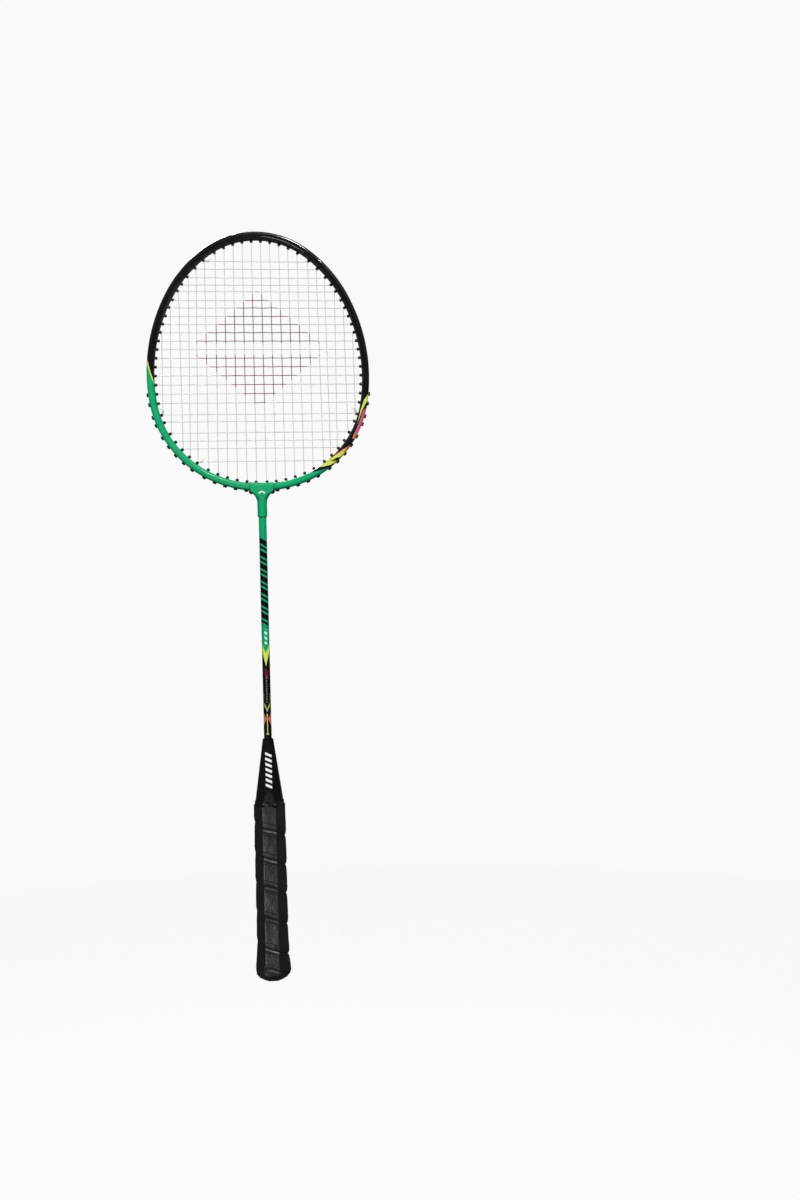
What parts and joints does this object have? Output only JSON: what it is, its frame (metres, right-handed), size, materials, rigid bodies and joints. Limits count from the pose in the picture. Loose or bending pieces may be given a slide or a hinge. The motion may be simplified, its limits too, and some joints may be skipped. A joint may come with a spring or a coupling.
{
  "type": "badminton racket",
  "caption": "Strung badminton racket: egg-shaped metal head on a T-joint, slim shaft, cone and octagonal handle with a spiral-wound grip.",
  "frame": {"origin": "centre of the flat end face of the butt", "axes": "+Z along the shaft from the butt to the top of the head, X across the string bed, front of the string bed towards -Y"},
  "size_m": [0.198, 0.0274, 0.665],
  "materials": {
    "frame_paint": "gloss black paint over the upper half of the head, running into gloss green with yellow and pink blades below",
    "joint_paint": "gloss green paint on a smooth cast joint",
    "shaft_paint": "gloss paint: green, yellow and black zones with pink marks",
    "cone_plastic": "glossy black moulded plastic with plain pale marks",
    "handle_wood": "bare turned wood, hidden under the grip",
    "pin_steel": "plain drawn steel",
    "cap_plastic": "black moulded plastic, slightly grained",
    "grip_pu": "black tacky synthetic leather wound in a spiral, with a satin sheen",
    "tape_vinyl": "black glossy tape",
    "grommet_plastic": "black moulded nylon",
    "string_nylon": "white nylon, slightly translucent, with a crimson painted stencil on the middle strings"
  },
  "bodies": {
    "root": {"head_frame": "frame_paint", "t_joint": "joint_paint", "shaft": "shaft_paint", "cone_cap": "cone_plastic", "handle_core": "handle_wood", "handle_pin": "pin_steel", "butt_cap": "cap_plastic", "grip_staple": "pin_steel", "grip_wrap": "grip_pu", "finishing_tape": "tape_vinyl", "grommets_top": "grommet_plastic", "grommets_upper_left": "grommet_plastic", "grommets_upper_right": "grommet_plastic", "grommets_lower_left": "grommet_plastic", "grommets_lower_right": "grommet_plastic", "grommets_throat": "grommet_plastic", "main_strings": "string_nylon", "cross_strings": "string_nylon", "main_string_turns": "string_nylon", "cross_string_turns": "string_nylon", "string_knots": "string_nylon"}
  },
  "joints": []
}
